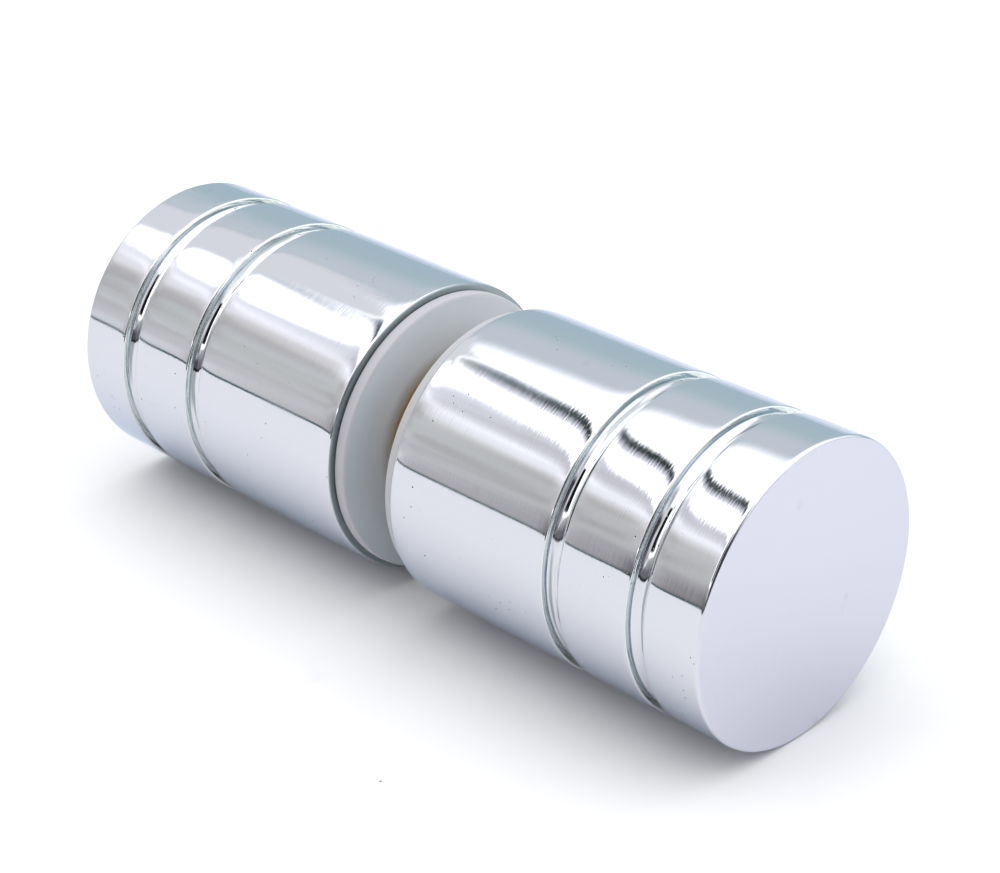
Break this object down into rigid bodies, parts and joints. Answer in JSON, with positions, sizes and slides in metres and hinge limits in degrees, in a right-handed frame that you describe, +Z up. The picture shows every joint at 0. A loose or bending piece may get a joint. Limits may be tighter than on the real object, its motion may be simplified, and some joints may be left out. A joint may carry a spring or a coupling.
{
  "type": "shower door handle",
  "caption": "Back-to-back shower door handle: grooved chrome cylinder knobs drawn together through a hole in the glass, with a plastic washer against each face.",
  "frame": {"origin": "on the knobs' common axis, halfway through the glass that the handle is fixed to", "axes": "+X along the knobs' axis towards the outer knob's face, +Z up on the hung door"},
  "size_m": [0.09, 0.032, 0.032],
  "materials": {
    "chrome_plate": "polished",
    "washer_plastic": "satin",
    "sleeve_nylon": "satin",
    "screw_steel": "zinc plated"
  },
  "bodies": {
    "root": {"outer_knob": "chrome_plate", "inner_knob": "chrome_plate", "outer_washer": "washer_plastic", "inner_washer": "washer_plastic", "glass_sleeve": "sleeve_nylon", "joining_screw": "screw_steel"}
  },
  "joints": []
}
